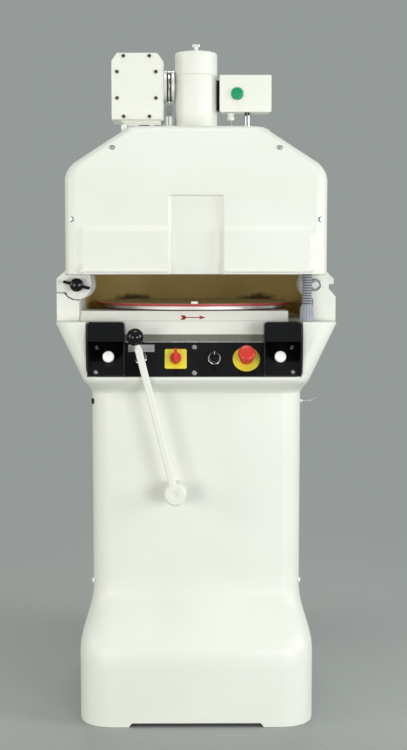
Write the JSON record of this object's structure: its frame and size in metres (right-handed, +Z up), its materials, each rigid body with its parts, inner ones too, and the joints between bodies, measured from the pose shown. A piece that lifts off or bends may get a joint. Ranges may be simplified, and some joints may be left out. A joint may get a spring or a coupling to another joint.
{
  "type": "dough divider",
  "caption": "Floor-standing semi-automatic dough divider and rounder: column, orbiting table, press head under a hood that tilts sideways.",
  "frame": {"origin": "on the floor under the tower's axis", "axes": "+Z up, front towards -Y, the operator's right hand at +X"},
  "size_m": [0.618, 0.6208, 1.5343],
  "materials": {
    "painted_cream": "white enamel, semi-gloss",
    "cast_iron": "painted casting",
    "steel": "machined",
    "chrome": "polished",
    "aluminium": "turned",
    "brown_sheet": "brown satin sheet",
    "black_panel": "black, semi-gloss",
    "red_plastic": "moulded",
    "plate_red": "moulding plate plastic",
    "yellow_plastic": "moulded",
    "white_plastic": "moulded",
    "grey_plastic": "corrugated hose",
    "rubber": "rubber",
    "green_glass": "clear green lens"
  },
  "bodies": {
    "column": {"base_plate": "cast_iron", "body_housing": "painted_cream", "rear_panel": "painted_cream", "table_bed": "painted_cream", "left_arm": "painted_cream", "right_arm": "painted_cream", "rear_guard": "brown_sheet", "bearing_column": "cast_iron", "upper_bearing": "steel", "lower_bearing": "steel", "motor_bracket": "cast_iron", "main_motor": "cast_iron", "drive_belt": "rubber", "control_panel": "black_panel", "left_button_guard": "black_panel", "right_button_guard": "black_panel", "timer_bezel": "chrome", "selector_bezel": "chrome", "main_switch_plate": "yellow_plastic", "emergency_stop_ring": "yellow_plastic", "lever_boss": "painted_cream", "conduit_socket": "grey_plastic", "conduit": "grey_plastic", "side_hook": "steel"},
    "crank": {"crank_shaft": "steel"},
    "motor_rotor": {"motor_pulley": "steel"},
    "table": {"work_table": "aluminium", "moulding_plate": "plate_red", "plate_stop": "white_plastic"},
    "head": {"head_bridge": "cast_iron", "hinge_pin": "steel", "front_cover": "painted_cream", "rear_cover": "painted_cream", "tower": "painted_cream", "tower_cap": "painted_cream", "top_fitting": "steel", "gearbox": "painted_cream", "gearbox_cover": "painted_cream", "coupling_bracket": "aluminium", "lamp_box": "painted_cream", "lamp_box_lid": "painted_cream", "signal_lens": "green_glass", "lamp_cable": "white_plastic", "lamp_post": "chrome"},
    "coupling": {"shaft_coupling": "steel"},
    "press": {"press_plate": "aluminium", "press_rod": "steel"},
    "knives": {"knife_star": "steel"},
    "ring": {"pressing_ring": "aluminium"},
    "lock": {"lock_stud": "steel", "lock_knob": "black_panel"},
    "hand_lever": {"lever": "painted_cream", "lever_ball": "black_panel"},
    "button_left": {"left_button": "white_plastic"},
    "button_right": {"right_button": "white_plastic"},
    "stop_plunger": {"emergency_stop_plunger": "steel"},
    "stop_cap": {"emergency_stop_cap": "red_plastic"},
    "switch_handle": {"main_switch_handle": "red_plastic"},
    "timer_dial": {"timer_knob": "black_panel"},
    "selector_dial": {"selector_knob": "black_panel"}
  },
  "joints": [
    {"name": "head_tilt", "type": "hinge", "parent": "column", "child": "head", "pos_m": [0.263, -0.1645, 0.974], "axis": [0, 1, 0], "range_deg": [0, 60], "deforming": ["conduit"]},
    {"name": "lock_turn", "type": "hinge", "parent": "head", "child": "lock", "pos_m": [-0.263, -0.239, 0.974], "axis": [0, 1, 0], "range_deg": [-90, 0]},
    {"name": "press_slide", "type": "slide", "parent": "head", "child": "press", "axis": [0, 0, -1], "range_m": [0, 0.058]},
    {"name": "knife_slide", "type": "slide", "parent": "head", "child": "knives", "axis": [0, 0, -1], "range_m": [0, 0.0749]},
    {"name": "ring_slide", "type": "slide", "parent": "head", "child": "ring", "axis": [0, 0, -1], "range_m": [0, 0.0717]},
    {"name": "coupling_spin", "type": "hinge", "parent": "head", "child": "coupling", "pos_m": [-0.065, 0, 1.436], "axis": [1, 0, 0], "range_deg": [0, 361]},
    {"name": "crank_spin", "type": "hinge", "parent": "column", "child": "crank", "pos_m": [0, 0, 0.6], "axis": [0, 0, 1], "continuous": true},
    {"name": "table_orbit", "type": "hinge", "parent": "crank", "child": "table", "pos_m": [-0.004, 0, 0.9], "axis": [0, 0, 1], "continuous": true},
    {"name": "motor_spin", "type": "hinge", "parent": "column", "child": "motor_rotor", "pos_m": [0, 0.168, 0.36], "axis": [0, 0, 1], "continuous": true},
    {"name": "lever_swing", "type": "hinge", "parent": "column", "child": "hand_lever", "pos_m": [-0.046, -0.29, 0.517], "axis": [0, 1, 0], "range_deg": [0, 28]},
    {"name": "left_button_push", "type": "slide", "parent": "column", "child": "button_left", "axis": [0, 0.8533, -0.5214], "range_m": [0, 0.005], "stiffness_N_per_m": 400},
    {"name": "right_button_push", "type": "slide", "parent": "column", "child": "button_right", "axis": [0, 0.8533, -0.5214], "range_m": [0, 0.005], "stiffness_N_per_m": 400},
    {"name": "stop_push", "type": "slide", "parent": "column", "child": "stop_plunger", "axis": [0, 0.8533, -0.5214], "range_m": [0, 0.004]},
    {"name": "stop_twist", "type": "hinge", "parent": "stop_plunger", "child": "stop_cap", "pos_m": [0.11, -0.265, 0.81], "axis": [0, -0.8533, 0.5214], "range_deg": [-45, 0]},
    {"name": "main_switch_turn", "type": "hinge", "parent": "column", "child": "switch_handle", "pos_m": [-0.045, -0.265, 0.81], "axis": [0, 0.8533, -0.5214], "range_deg": [0, 90]},
    {"name": "timer_turn", "type": "hinge", "parent": "column", "child": "timer_dial", "pos_m": [-0.123, -0.26396, 0.81171], "axis": [0, 0.8533, -0.5214], "range_deg": [0, 270]},
    {"name": "selector_turn", "type": "hinge", "parent": "column", "child": "selector_dial", "pos_m": [0.04, -0.265, 0.81], "axis": [0, 0.8533, -0.5214], "range_deg": [-45, 45]}
  ],
  "couplings": [
    {"joint": "knife_slide", "follows": "press_slide", "ratio": 1.2879},
    {"joint": "ring_slide", "follows": "press_slide", "ratio": 1.2328},
    {"joint": "coupling_spin", "follows": "press_slide", "rad_per_m": 108.33},
    {"joint": "table_orbit", "follows": "crank_spin", "ratio": -1},
    {"joint": "motor_spin", "follows": "crank_spin", "ratio": 2.7368}
  ]
}
